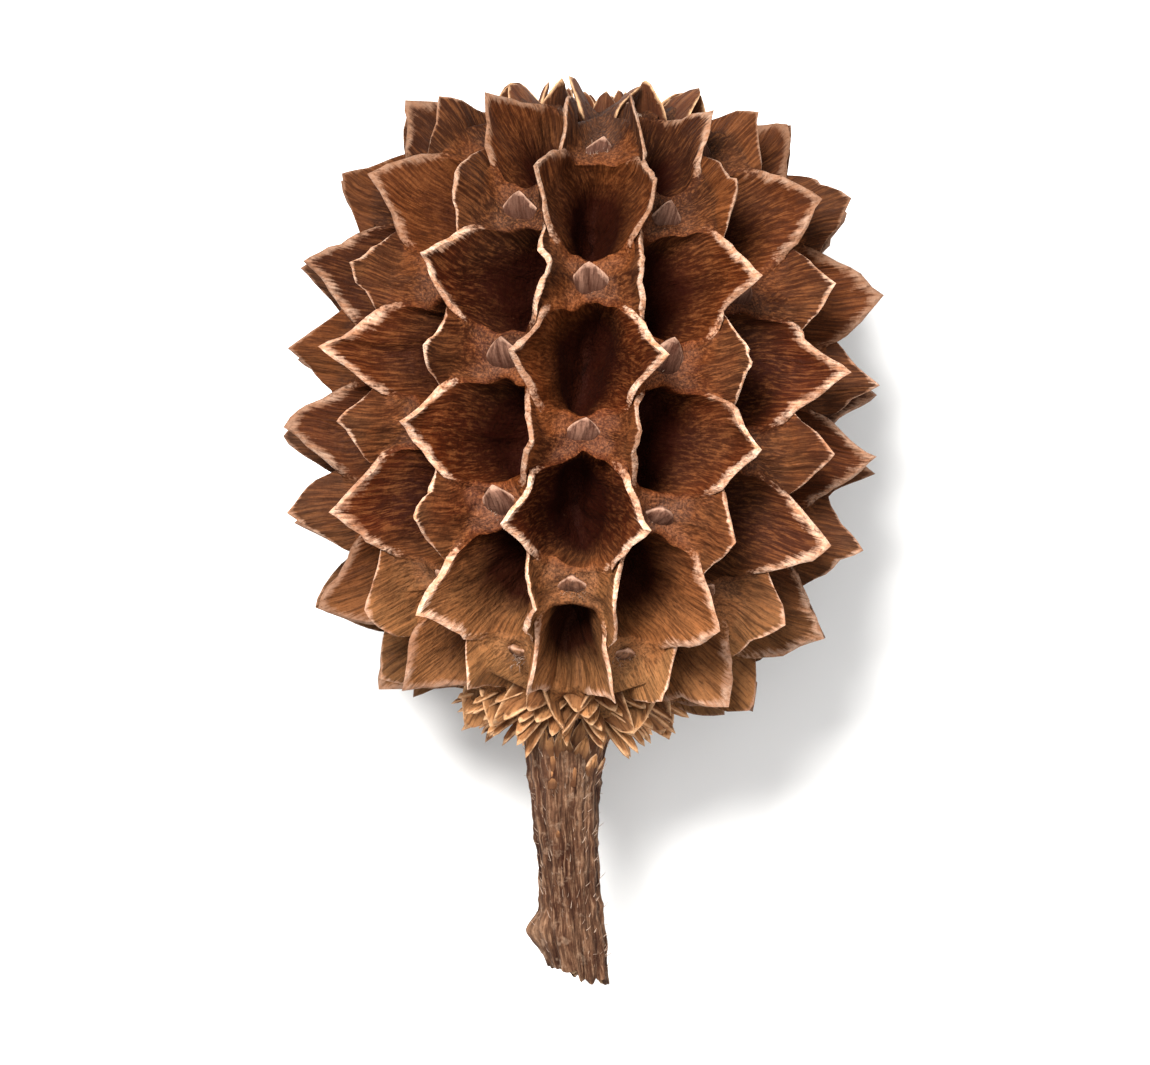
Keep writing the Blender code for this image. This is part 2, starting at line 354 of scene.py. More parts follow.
class Surface:
    """A mesh while it is built. Each point keeps its place on the grain and numbers that its material reads:

    lip: 1 on a thin edge or on torn wood; deep: 0 at the rim to 1 at a cup's floor; back: 1 on outer faces;
    tone: a random number for each valve, scale or hair, or how high the bark stands; upward: the height over
    the body, or the share of a scale's, a hair's or the stalk's length.
    """

    NUMBERS = ("lip", "deep", "back", "tone", "upward")

    def __init__(self):
        self.points = []
        self.grain = []
        self.numbers = []
        self.faces = []
        self.shared = {}

    def add(self, point, grain=None, **numbers):
        self.points.append(tuple(point))
        self.grain.append(tuple(point if grain is None else grain))
        self.numbers.append([float(numbers.get(name, 0.0)) for name in self.NUMBERS])
        return len(self.points) - 1

    def add_ring(self, points, grain=None, **numbers):
        count = len(points)
        columns = {name: np.broadcast_to(value, count) for name, value in numbers.items()}
        ring = []
        for i, point in enumerate(points):
            own = {name: column[i] for name, column in columns.items()}
            ring.append(self.add(point, None if grain is None else grain[i], **own))
        return ring

    def band(self, outer, inner):
        count = len(outer)
        for i in range(count):
            following = (i + 1) % count
            self.faces.append((outer[i], outer[following], inner[following], inner[i]))

    def fan(self, middle, ring, closed=True):
        pairs = list(zip(ring, ring[1:]))
        if closed:
            pairs.append((ring[-1], ring[0]))
        for one, other in pairs:
            self.faces.append((middle, one, other))

    def finish(self, name, look, swing=1.0):
        data = bpy.data.meshes.new(name)
        places = ((Vector(point), Vector(grain)) for point, grain in zip(self.points, self.grain))
        points = [point + swing * unevenness(point, grain) for point, grain in places]
        data.from_pydata([tuple(p) for p in in_frame(points) * MM], [], self.faces)
        table = np.array(self.numbers, dtype=np.float32)
        for index, label in enumerate(self.NUMBERS):
            layer = data.attributes.new(label, "FLOAT", "POINT")
            layer.data.foreach_set("value", np.ascontiguousarray(table[:, index]))
        layer = data.attributes.new("grain", "FLOAT_VECTOR", "POINT")
        layer.data.foreach_set("vector", np.array(self.grain, dtype=np.float32).ravel())
        mesh = bmesh.new()
        mesh.from_mesh(data)
        bmesh.ops.recalc_face_normals(mesh, faces=mesh.faces)
        mesh.to_mesh(data)
        mesh.free()
        data.shade_smooth()
        data.set_sharp_from_angle(angle=math.radians(SHARP_ANGLE))
        data.materials.append(look)
        made = bpy.data.objects.new(name, data)
        bpy.context.scene.collection.objects.link(made)
        return made


# The head: one closed surface with a cup for each mouth, and a groove between the backs of two valves


def crest(tip, e, fall):
    """A valve's rim height from its tip, at e = 0, to its low end, at e = 1."""
    low = LOW_RIM * tip
    return low + (tip - low) * (1 - e) ** fall


def groove(tip_a, tip_b, e, fall):
    """The height of the groove between two valves back to back, from one tip to the other."""
    ends = KEEL * mix(tip_a, tip_b, e)
    middle = min(crest(tip_a, 0.5, fall), crest(tip_b, 0.5, fall)) - GROOVE_DEPTH
    return mix(ends, middle, math.sin(math.pi * e) ** 2)


def slope_keys(level, column, side, way):
    """What the points on a sloping side of a cell are called, the same from both mouths that share it."""
    near = (level, column, side)
    far = (level + way, (column + side) % COLUMNS, -side)
    if near < far:
        between = [("slope", near, far, step) for step in range(1, SLOPE_STEPS)]
    else:
        between = [("slope", far, near, SLOPE_STEPS - step) for step in range(1, SLOPE_STEPS)]
    return [("tip",) + near] + between + [("tip",) + far]


def bract_keys(level, column):
    """What the points on the short side at a bract are called."""
    return [("bract", level, column, step) for step in range(1, BRACT_STEPS)]


def slope_points(level, column, side, way):
    """The points of a cell's edge from its own tip to the neighbour's, towards the apex or the stalk."""
    near_turn, near_arc, near_height = tips[level, column, side]
    far_turn, far_arc, far_height = tips[level + way, (column + side) % COLUMNS, -side]
    far_turn = next_to(far_turn, column)
    fall = END_RIM_FALL if level + way in (0, LEVELS - 1) else RIM_FALL
    points = []
    for step, key in enumerate(slope_keys(level, column, side, way)):
        e = step / SLOPE_STEPS
        points.append((
            key,
            mix(near_turn, far_turn, e),
            mix(near_arc, far_arc, e),
            groove(near_height, far_height, e, fall),
            crest(near_height, e, fall),
            "slope", e, side,
        ))
    return points


def bract_points(level, column, way, right, left):
    """The points of a cell's edge from the right corner to the left one, by way of the column's middle."""
    far_level = level + way
    points = []
    for step, key in enumerate(bract_keys(far_level, column), 1):
        f = 2 * step / BRACT_STEPS - 1
        side, corner = (1, right) if f < 0 else (-1, left)
        far_height = tips[far_level, (column + side) % COLUMNS, -side][2]
        own_height = tips[level, column, side][2]
        points.append((
            key,
            mix(column, corner[1], abs(f)),
            mix(level_arc(far_level), corner[2], abs(f)),
            mix(PAD_HEIGHT, KEEL * far_height, abs(f) ** KEEL_FALL),
            LOW_RIM * own_height * mix(0.6, 1.0, abs(f)),
            "bract", f, side,
        ))
    return points


def cell_edge(level, column):
    """The edge of a mouth's cell, in order round it. Each point has its key, turn, arc, the heights of the
    groove and of the rim, the kind of side it is on, its place along that side, and which valve it is on."""
    halves = []
    for way in (1, -1):
        right, left = (slope_points(level, column, side, way) for side in (1, -1))
        halves.append(right + bract_points(level, column, way, right[-1], left[-1]) + left[::-1])
    far_half, near_half = halves
    return far_half + near_half[-2:0:-1]


def share_along(name, kind, part):
    """How far out a line of the rim lies at each point of a cell's edge."""
    tip, slope, corner, bract = SHARES[name]
    from_middle = 2 * part - 1
    on_slope = np.where(
        from_middle < 0,
        slope + (tip - slope) * np.abs(from_middle) ** 1.5,
        slope + (corner - slope) * np.abs(from_middle) ** 1.6,
    )
    at_bract = mix(bract, corner, smooth(np.abs(part), 0.0, 1.0))
    return np.where(kind == "bract", at_bract, on_slope)


def stripes(rng, count, scale, turns):
    """A closed run of small ridges round a mouth, as numbers about -1 to 1."""
    waves = [(rng.randint(*turns), rng.uniform(0, 2 * math.pi), rng.uniform(0.4, 1.0)) for _ in range(6)]
    angle = 2 * np.pi * np.arange(count) / count
    total = sum(size * np.sin(many * angle + start) for many, start, size in waves)
    return scale * total / 2.5


class Mouth:
    """A mouth with its two valves while it is built, in rings from the groove round it down to its floor."""

    def __init__(self, surface, level, column):
        rng = rng_for(level, column)
        edge = cell_edge(level, column)
        count = len(edge)
        self.surface = surface
        self.column = column
        self.middle_arc = level_arc(level)
        self.keys = [entry[0] for entry in edge]
        self.turn, self.arc, self.base, rim = (np.array([entry[i] for entry in edge]) for i in (1, 2, 3, 4))
        kind, part, side = (np.array([entry[i] for entry in edge]) for i in (5, 6, 7))
        self.across = self.turn - column
        self.along = self.arc - self.middle_arc
        radius = float(np.interp(self.middle_arc, body.arc, body.radius))
        self.depth = min(CUP_DEPTH, DEPTH_BY_RADIUS * radius)
        tones = {1: rng.random(), -1: rng.random()}
        bends = {1: rng.uniform(*TIP_BEND), -1: rng.uniform(*TIP_BEND)}
        self.tone = np.array([tones[int(s)] for s in side])
        bend = np.array([bends[int(s)] for s in side])

        # The rim is a little uneven, with worn bites on the valves, and lowest and plain at the bracts
        self.on_valve = np.where(kind == "bract", 0.0, 1 - smooth(part, 0.35, 1.0))
        near_tip = np.where(kind == "bract", 0.0, np.maximum(0.0, 1 - part / 0.4) ** 2)
        rim = rim * (1 + stripes(rng, count, 0.02, (3, 9)))
        bites = np.maximum(0.0, stripes(rng, count, 1.0, (7, 17)) - 0.5)
        self.rim = rim - BITE_DEPTH * self.on_valve * bites
        self.top = self.rim - EDGE_DROP - TIP_DROP * near_tip
        self.ridges = stripes(rng, count, 0.008, (14, 30))
        waver = stripes(rng, count, 0.012, (4, 13)) + bend * near_tip
        self.shares = {name: share_along(name, kind, part) + waver for name in SHARES}
        self.inner_ridges = stripes(rng, count, 0.012, (9, 24))

    def ring(self, turn, arc, heights, **numbers):
        points = body.place(turn, arc, heights)
        grain = body.place(turn, arc, GRAIN_SQUEEZE * heights)
        return self.surface.add_ring(points, grain, tone=self.tone, upward=heights, **numbers)

    def ring_at(self, shares, heights, **numbers):
        """A ring between the middle of the cell, at a share of 0, and its edge, at 1."""
        turn = self.column + shares * self.across
        arc = self.middle_arc + shares * self.along
        return self.ring(turn, arc, heights, **numbers)

    def groove_ring(self):
        """The points in the groove round the mouth, which it shares with its neighbours."""
        shared = self.surface.shared
        points = body.place(self.turn, self.arc, self.base)
        grain = body.place(self.turn, self.arc, GRAIN_SQUEEZE * self.base)
        for i, key in enumerate(self.keys):
            if key not in shared:
                shared[key] = self.surface.add(points[i], grain[i], back=1.0, tone=0.5, upward=self.base[i])
        return [shared[key] for key in self.keys]

    def valve_rings(self):
        """The rings up the valves' backs and over their thin edges."""
        outer, crest_line, inner = (self.shares[name] for name in ("outer", "crest", "inner"))
        for spread, rise in OUTER_RINGS:
            share = np.where(self.rim > self.base, rise, 1 - (1 - spread) ** FOOT_STEEPNESS)
            yield self.ring_at(
                mix(1.0, outer, spread) + self.ridges * spread * rise, mix(self.base, self.rim, share),
                back=1.0, lip=self.on_valve * smooth(rise, 0.8, 1.0) * 0.75,
            )
        for spread, rise, lip in EDGE_RINGS:
            yield self.ring_at(
                mix(outer, crest_line, spread), mix(self.base, self.rim, rise),
                back=0.5, lip=lip * self.on_valve,
            )
        yield self.ring_at(inner, self.top, lip=0.8 * self.on_valve)

    def cup_rings(self):
        """The rings down the inside, which turn from the cell's shape to a round one."""
        half_length = level_arc(1) - level_arc(0)
        angle = np.arctan2(self.along / (2 * half_length), self.across / (2 * TIP_REACH))
        round_turn = self.column + CUP_HALF_WIDTH * TIP_REACH * np.cos(angle)
        round_arc = self.middle_arc + CUP_HALF_LENGTH * half_length * np.sin(angle)
        for q in INNER_RINGS:
            shrink = (1 - q ** 2.3) ** 0.62
            blend = smooth(q, *BLEND_TO_ROUND)
            spread = self.shares["inner"] + self.inner_ridges * math.sin(math.pi * min(1.0, q * 1.3)) * 0.9
            ring_turn = mix(self.column + spread * self.across, round_turn, blend)
            ring_arc = mix(self.middle_arc + spread * self.along, round_arc, blend)
            yield self.ring(
                self.column + (ring_turn - self.column) * shrink,
                self.middle_arc + (ring_arc - self.middle_arc) * shrink,
                self.top * (1 - q) ** 1.5 - self.depth * (1 - (1 - q) ** 1.35),
                deep=q, lip=0.7 * self.on_valve * (1 - smooth(q, 0.0, 0.085)),
            )

    def build(self):
        before = self.groove_ring()
        for rings in (self.valve_rings(), self.cup_rings()):
            for ring in rings:
                self.surface.band(before, ring)
                before = ring
        middle = body.place(self.column, self.middle_arc, -self.depth * 1.02)
        self.surface.fan(self.surface.add(middle, deep=1.0, tone=0.5), before)


def make_half_mouth(surface, level, column, way):
    """The small closed scale at an end of the head, where the column's next mouth would be."""
    right, left = (slope_keys(level, column, side, way) for side in (1, -1))
    ring = [surface.shared[key] for key in right + bract_keys(level + way, column) + left[::-1]]
    hub = surface.add(body.place(column, level_arc(level), 0.0), back=1.0, tone=0.4)
    surface.shared["hub", level, column] = hub
    surface.fan(hub, ring, closed=False)


def end_ring(surface, level):
    ring = []
    for column in range(COLUMNS):
        if has_mouth(column, level):
            ring.append(surface.shared["tip", level, column, -1])
            ring.append(surface.shared["hub", level, column])
            ring.append(surface.shared["tip", level, column, 1])
        else:
            ring.extend(surface.shared[key] for key in reversed(bract_keys(level, column)))
    return ring


def close_end(surface, level, rings):
    """Closes an end with plain rings of (radius, along), the last of them a point on the axis."""
    outer = end_ring(surface, level)
    angles = [math.atan2(surface.points[i][2], surface.points[i][0]) for i in outer]
    for radius, along in rings[:-1]:
        points = [(radius * math.cos(a), along, radius * math.sin(a)) for a in angles]
        inner = surface.add_ring(points, back=1.0, tone=0.4)
        surface.band(outer, inner)
        outer = inner
    middle = surface.add((0.0, rings[-1][1], 0.0), back=1.0, tone=0.4)
    surface.fan(middle, outer)


def make_head(look):
    surface = Surface()
    last = LEVELS - 1
    for column in range(COLUMNS):
        for level in range(1, last):
            if has_mouth(column, level):
                Mouth(surface, level, column).build()
    for column in range(COLUMNS):
        if has_mouth(column, 0):
            make_half_mouth(surface, 0, column, 1)
        if has_mouth(column, last):
            make_half_mouth(surface, last, column, -1)
    close_end(surface, 0, [(radius, inward - BODY_BASE_LENGTH) for radius, inward in BASE_END])
    close_end(surface, last, [(radius, BODY_APEX_LENGTH - inward) for radius, inward in APEX_END])
    head = surface.finish("head", look)
    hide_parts("cone")
    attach(head, "root")


# Small scales: the bracts between the mouths, the closed scales at both ends and those on the stalk


def add_scale(surface, root, grow, wide, width, length, thickness, curl, tone, point):
    """A small pointed scale from its root, along grow and broad along wide, that curls over its own back."""
    grow, wide = Vector(grow).normalized(), Vector(wide).normalized()
    back = grow.cross(wide).normalized()
    apart = Vector((tone * 40, tone * 17, tone * 29))
    before = None
    for step in range(SCALE_STEPS):
        v = step / SCALE_STEPS
        broad = (1 - v ** 1.6) ** point * mix(0.8, 1.0, smooth(v, 0.0, 0.25))
        middle = Vector(root) + grow * (length * v) + back * (curl * length * v * v)
        points, grain, edge = [], [], []
        for i in range(SCALE_SIDES):
            angle = 2 * math.pi * i / SCALE_SIDES
            at_side = abs(math.cos(angle)) ** 6 * float(smooth(v, 0.1, 0.5))
            edge.append(max(at_side, float(smooth(v, 0.8, 1.0))))
            across = wide * (width / 2 * broad * math.cos(angle))
            keel = 1 + 0.35 * math.exp(-(math.remainder(angle + math.pi / 2, 2 * math.pi) / 0.5) ** 2)
            through = back * (thickness / 2 * keel * (1 - 0.55 * v) * math.sin(angle))
            points.append(middle + across + through)
            grain.append(apart + across + through + grow * (length * v * GRAIN_SQUEEZE))
        ring = surface.add_ring(points, grain, tone=tone, lip=edge, back=1.0, upward=v)
        if before:
            surface.band(before, ring)
        else:
            surface.fan(surface.add(Vector(root), apart, tone=tone, back=1.0), ring)
        before = ring
    tip = Vector(root) + grow * length + back * (curl * length)
    surface.fan(surface.add(tip, apart, tone=tone, lip=1.0, back=1.0, upward=1.0), before)


def make_bracts(look):
    """The bract in front of each mouth, on the pad between it and the next mouth of its column."""
    surface = Surface()
    for level, column in pads():
        rng = rng_for(level, column, 3)
        arc = level_arc(level) + rng.uniform(-0.08, 0.08)
        turn = column + rng.uniform(-0.05, 0.05)
        out, side, along = body.directions(turn, arc)
        size = tip_height(level) / TIP_HEIGHT
        root = Vector(body.place(turn, arc - 0.22, -0.16))
        add_scale(
            surface, root, out + along * rng.uniform(0.7, 1.2) + side * rng.uniform(-0.15, 0.15), side,
            width=1.25 * size * rng.uniform(0.8, 1.1), length=0.85 * size * rng.uniform(0.85, 1.15),
            thickness=BRACT_THICKNESS * size, curl=-0.08, tone=rng.random(), point=0.9,
        )
    bracts = surface.finish("bracts", look, swing=0.7)
    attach(bracts, "root")


def add_closed_mouth(surface, column, level):
    """The two small valves of a mouth that hardly opened, at an end of the head."""
    rng = rng_for(level, column, 5)
    arc = level_arc(level)
    out, side, along = body.directions(column, arc)
    height = 0.4 + tip_height(level)
    for way in (-1, 1):
        root = Vector(body.place(column + way * 0.3, arc, -0.3))
        add_scale(
            surface, root, out + side * way * rng.uniform(0.25, 0.5), along, width=rng.uniform(1.2, 1.5),
            length=height * rng.uniform(0.95, 1.15), thickness=END_SCALE_THICKNESS, curl=0.15 * way,
            tone=rng.random(), point=0.8,
        )


def add_whorl(surface, arc, count, lean, width, length, shift, number):
    """A ring of scales round the axis, which lean towards the apex by a share of their length."""
    for i in range(count):
        rng = rng_for(number, i, 9)
        turn = COLUMNS * (i + shift + rng.uniform(-0.12, 0.12)) / count
        place = arc + rng.uniform(-0.05, 0.05)
        out, side, along = body.directions(turn, place)
        root = Vector(body.place(turn, place, -0.3))
        add_scale(
            surface, root, out + along * (lean + rng.uniform(-0.12, 0.12)), side,
            width=width * rng.uniform(0.85, 1.1), length=length * rng.uniform(0.85, 1.15),
            thickness=END_SCALE_THICKNESS, curl=-0.12, tone=rng.random(), point=0.85,
        )


def make_end_scales(look):
    surface = Surface()
    for column in range(COLUMNS):
        for level in (0, LEVELS - 1):
            if has_mouth(column, level):
                add_closed_mouth(surface, column, level)
    for number, (from_end, count, lean, width, length) in enumerate(APEX_WHORLS):
        add_whorl(surface, body.length - from_end, count, lean, width, length, 0.5 * (number % 2), number)
    for number, (from_end, count, lean, width, length) in enumerate(BASE_WHORLS):
        add_whorl(surface, from_end, count, lean, width, length, 0.5 * (number % 2), number + 20)
    scales = surface.finish("end_scales", look, swing=0.7)
    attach(scales, "root")


# The stalk


def stalk_radius(share):
    for (start, first), (end, second) in zip(STALK_RADII, STALK_RADII[1:]):
        if share <= end:
            return first + (second - first) * (share - start) / (end - start)
    return STALK_RADII[-1][1]


def stalk_middle(share):
    return Vector((STALK_LEAN * share * share, STALK_TOP - STALK_LENGTH * share, -STALK_DROOP * share))


def stalk_surface(share, angle):
    """The stalk's radius with its ribs, wrinkles and the broken knot."""
    x, z = math.cos(angle), math.sin(angle)
    wander = 0.25 * noise.noise(Vector((share * 6, 0.0, 3.0)))
    rib = math.cos(STALK_RIBS * (angle + wander))
    rib = math.copysign(abs(rib) ** 0.6, rib)
    depth = STALK_RIB_DEPTH * mix(0.6, 1.0, noise.noise(Vector((share * 14, x * 2, z * 2))) + 0.5)
    fine = noise.noise(Vector((share * 40, x * 9, z * 9)))
    lumps = noise.noise(Vector((share * 9 + 20, x * 1.5, z * 1.5)))
    along = (share - KNOT_PLACE) / KNOT_LENGTH
    around = math.remainder(angle - KNOT_TURN, 2 * math.pi)
    knot = KNOT_HEIGHT * math.exp(-along * along - 4 * around * around)
    joints = JOINT_HEIGHT * sum(math.exp(-((share - place) / JOINT_LENGTH) ** 2) for place in JOINT_PLACES)
    return stalk_radius(share) * 0.97 + rib * depth + 0.02 * fine + 0.05 * lumps + knot + joints


def add_bark_ring(surface, share):
    """One ring of the bark. Those near the broken end slant, and their edge is frayed."""
    middle = stalk_middle(share)
    points, grain, ridge = [], [], []
    for i in range(STALK_SIDES):
        angle = 2 * math.pi * i / STALK_SIDES
        x, z = math.cos(angle), math.sin(angle)
        radius = stalk_surface(max(share, 0.0), angle)
        frayed = 0.2 * noise.noise(Vector((x * 4, z * 4, 8.0)))
        slant = (0.16 * x + frayed) * max(share, 0.0) ** 9
        points.append(middle + Vector((radius * x, -slant, radius * z)))
        grain.append((0.8 * x, STALK_LENGTH * share * BARK_SQUEEZE, 0.8 * z))
        ridge.append(radius / stalk_radius(max(share, 0.0)) - 0.9)
    return surface.add_ring(points, grain, back=1.0, tone=np.clip(np.array(ridge) * 4, 0, 1), upward=share)


def close_broken_end(surface, before):
    """A ragged face of torn wood round the pith, from the last ring of the bark inwards."""
    end = stalk_middle(1.0)
    edge = [Vector(surface.points[index]) - end for index in before]
    for shrink in BROKEN_END_RINGS:
        points, torn_by = [], []
        for i, offset in enumerate(edge):
            angle = 2 * math.pi * i / STALK_SIDES
            x, z = math.cos(angle), math.sin(angle)
            plain = STALK_RADII[-1][1] * (1 + 0.1 * math.cos(angle + 1.0))
            radius = mix(math.hypot(offset.x, offset.z), plain, 1 - shrink ** 6) * shrink
            torn = noise.noise(Vector((x * 7 * shrink, z * 4 * shrink, 31.0)))
            torn += 0.7 * noise.noise(Vector((x * 16 * shrink, z * 16 * shrink, 57.0)))
            sunk = 0.14 * (1 - shrink ** 2)
            away = offset.y * shrink + sunk - 0.12 * torn * (1 - shrink ** 8)
            points.append(end + Vector((radius * x, away, radius * z)))
            torn_by.append(min(1.0, max(0.0, 0.5 + torn)))
        ring = surface.add_ring(points, lip=smooth(shrink, 1.0, 0.85), tone=np.array(torn_by), upward=1.0)
        surface.band(before, ring)
        before = ring
    surface.fan(surface.add(end + Vector((0.0, 0.2, 0.0)), lip=0.2, tone=0.2, upward=1.0), before)


def make_stalk(look):
    surface = Surface()
    before = None
    for step in range(STALK_RINGS):
        share = -0.03 + 1.03 * step / (STALK_RINGS - 1)
        ring = add_bark_ring(surface, share)
        if before:
            surface.band(before, ring)
        else:
            surface.fan(surface.add(stalk_middle(share), tone=0.3), ring)
        before = ring
    close_broken_end(surface, before)
    stalk = surface.finish("stalk_bark_fine", look, swing=0.35)
    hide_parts("stalk")
    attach(stalk, "root")


def make_stalk_scales(look):
    surface = Surface()
    for row, (share, count, length, width, stand_off) in enumerate(STALK_SCALE_ROWS):
        for i in range(count):
            rng = rng_for(row, i, 11)
            angle = 2 * math.pi * (i + 0.5 * (row % 2) + rng.uniform(-0.15, 0.15)) / count
            place = share + rng.uniform(-0.01, 0.01)
            out = Vector((math.cos(angle), 0.0, math.sin(angle)))
            side = Vector((math.sin(angle), 0.0, -math.cos(angle)))
            root = stalk_middle(place) + out * (stalk_surface(place, angle) - 0.12)
            grow = Vector((0.0, 1.0, 0.0)) + out * stand_off * rng.uniform(0.8, 1.2)
            add_scale(
                surface, root - 0.12 * grow, grow, side, width=width * rng.uniform(0.85, 1.1),
                length=length * rng.uniform(0.8, 1.2), thickness=STALK_SCALE_THICKNESS, curl=0.08,
                tone=rng.random(), point=0.85,
            )
    scales = surface.finish("stalk_scales", look, swing=0.5)
    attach(scales, "root")


# Short grey hairs in the crevices: on the stalk and at the foot of the bracts


def add_hair(surface, root, grow, length, bend, tone):
    """A three-sided hair that tapers to a point."""
    grow = Vector(grow).normalized()
    wide = grow.orthogonal().normalized()
    deep = grow.cross(wide)
    before = None
    for v in (0.0, 0.35, 0.7):
        middle = Vector(root) + grow * (length * v) + Vector(bend) * (length * v * v)
        reach = HAIR_THICKNESS / 2 * (1 - 0.6 * v)
        points = [middle + reach * (wide * math.cos(a) + deep * math.sin(a)) for a in (0.0, 2.1, 4.2)]
        ring = surface.add_ring(points, tone=tone, upward=v)
        if before:
            surface.band(before, ring)
        else:
            surface.faces.append(tuple(ring))
        before = ring
    tip = Vector(root) + grow * length + Vector(bend) * length
    surface.fan(surface.add(tip, tone=tone, upward=1.0), before)


def add_stalk_hairs(surface, rng):
    for _ in range(STALK_HAIRS):
        share = rng.random() ** 1.3 * 0.97
        angle = rng.uniform(0, 2 * math.pi)
        out = Vector((math.cos(angle), 0.0, math.sin(angle)))
        root = stalk_middle(share) + out * (stalk_surface(share, angle) - 0.03)
        grow = out + Vector((0.0, rng.uniform(0.2, 1.6), 0.0))
        grow += 0.4 * Vector(rng.uniform(-1, 1) for _ in range(3))
        add_hair(surface, root, grow, rng.uniform(0.08, 0.24), (0.0, rng.uniform(0, 0.5), 0.0), rng.random())


def add_bract_hairs(surface, rng, level, column):
    for _ in range(BRACT_HAIRS):
        turn = column + rng.gauss(0.0, 0.13)
        arc = level_arc(level) + rng.gauss(-0.1, 0.16)
        out, side, along = body.directions(turn, arc)
        grow = out + side * rng.uniform(-0.7, 0.7) + along * rng.uniform(-0.7, 0.7)
        root = Vector(body.place(turn, arc, PAD_HEIGHT))
        grain = Vector(body.place(turn, arc, GRAIN_SQUEEZE * PAD_HEIGHT))
        root += unevenness(root, grain) - 0.02 * out
        add_hair(surface, root, grow, rng.uniform(0.06, 0.17), (0.0, 0.0, 0.0), 0.8 * rng.random())


def make_hairs(look):
    surface = Surface()
    rng = rng_for(77)
    add_stalk_hairs(surface, rng)
    for level, column in pads():
        add_bract_hairs(surface, rng, level, column)
    hairs = surface.finish("hairs", look, swing=0.0)
    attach(hairs, "root")


# Materials


class Nodes:
    """A short way to write a material's nodes."""

    def __init__(self, name):
        self.material = bpy.data.materials.new(name)
        self.material.use_nodes = True
        self.tree = self.material.node_tree
        self.shader = self.tree.nodes["Principled BSDF"]

    def put(self, kind, inputs, **settings):
        """A new node with its settings, and with its inputs linked or set."""
        node = self.tree.nodes.new(kind)
        for key, value in settings.items():
            setattr(node, key, value)
        for name, value in inputs.items():
            self.feed(node, name, value)
        return node

    def feed(self, node, name, value):
        if isinstance(value, bpy.types.NodeSocket):
            self.tree.links.new(value, node.inputs[name])
        else:
            node.inputs[name].default_value = value

    def number(self, name):
        return self.put("ShaderNodeAttribute", {}, attribute_name=name).outputs["Fac"]

    def math(self, operation, *values):
        return self.put("ShaderNodeMath", dict(enumerate(values)), operation=operation).outputs[0]

    def mix(self, share, one, other, blend="MIX"):
        inputs = {"Factor": share, 6: one, 7: other}
        return self.put("ShaderNodeMix", inputs, data_type="RGBA", blend_type=blend).outputs[2]

    def ramp(self, value, stops):
        node = self.put("ShaderNodeValToRGB", {"Fac": value})
        elements = node.color_ramp.elements
        while len(elements) < len(stops):
            elements.new(0.5)
        for element, (place, colour) in zip(elements, stops):
            element.position = place
            element.color = colour
        return node.outputs["Color"]

    def range(self, value, low, high, to_low=0.0, to_high=1.0):
        inputs = {"Value": value, "From Min": low, "From Max": high, "To Min": to_low, "To Max": to_high}
        return self.put("ShaderNodeMapRange", inputs).outputs["Result"]

    def place(self):
        return self.put("ShaderNodeTexCoord", {}).outputs["Object"]

    def placed(self, axis):
        """The place along one axis of the row frame, in metres."""
        return self.put("ShaderNodeSeparateXYZ", {0: self.place()}).outputs[axis]

    def grain(self, scale):
        """Coordinates along the grain, in which a whole wave takes 1 / scale millimetres across it."""
        along = self.put("ShaderNodeAttribute", {}, attribute_name="grain").outputs["Vector"]
        return self.put("ShaderNodeVectorMath", {0: along, "Scale": scale}, operation="SCALE").outputs[0]

    def noise(self, scale, detail, roughness, vector=None):
        inputs = {"Vector": vector or self.place(), "Scale": scale, "Detail": detail, "Roughness": roughness}
        return self.put("ShaderNodeTexNoise", inputs).outputs["Fac"]

    def bumps(self, *layers):
        """Bumps over one another, each with its height, strength and distance."""
        normal = None
        for height, strength, distance in layers:
            inputs = {"Height": height, "Strength": strength, "Distance": distance}
            if normal:
                inputs["Normal"] = normal
            normal = self.put("ShaderNodeBump", inputs).outputs["Normal"]
        return normal

    def done(self, colour, roughness, normal):
        self.feed(self.shader, "Base Color", colour)
        self.feed(self.shader, "Roughness", roughness)
        self.feed(self.shader, "Normal", normal)
        return self.material


def srgb(red, green, blue):
    """A colour from 0 to 255 as it looks on screen, as Blender's linear numbers."""
    return tuple((c / 255) ** 2.2 for c in (red, green, blue)) + (1.0,)


def painted_light_and_shade_along(n, colour, pale):
    """Painted light towards the stalk, paler by a share of pale, and painted shade towards the apex, darker.
    """
    colour = n.mix(n.range(n.placed("Y"), *PAINTED_LIGHT_TOWARDS_STALK, 0.0, pale), colour, srgb(208, 150, 98))
    return n.mix(n.range(n.placed("Y"), *PAINTED_SHADE_TOWARDS_APEX, 0.0, 0.62), colour, srgb(40, 22, 13))


def wood_inside(n, deep, upward, fine_fibres):
    """The colour in a mouth: the wood's own reddish brown, darkened on the way down by painted shade, and
    greyer on the tallest valves.
    """
    inside = n.ramp(deep, (
        (0.0, srgb(104, 51, 26)),
        (0.1, srgb(80, 34, 15)),
        (0.2, srgb(58, 23, 9)),
        (0.36, srgb(43, 15, 5)),
        (0.6, srgb(34, 11, 5)),
    ))
    inside = n.mix(n.range(fine_fibres, 0.45, 0.75, 0.0, 0.5), inside, srgb(66, 29, 14))
    return n.mix(n.range(upward, 1.3, 2.1, 0.0, 0.4), inside, srgb(80, 54, 39))


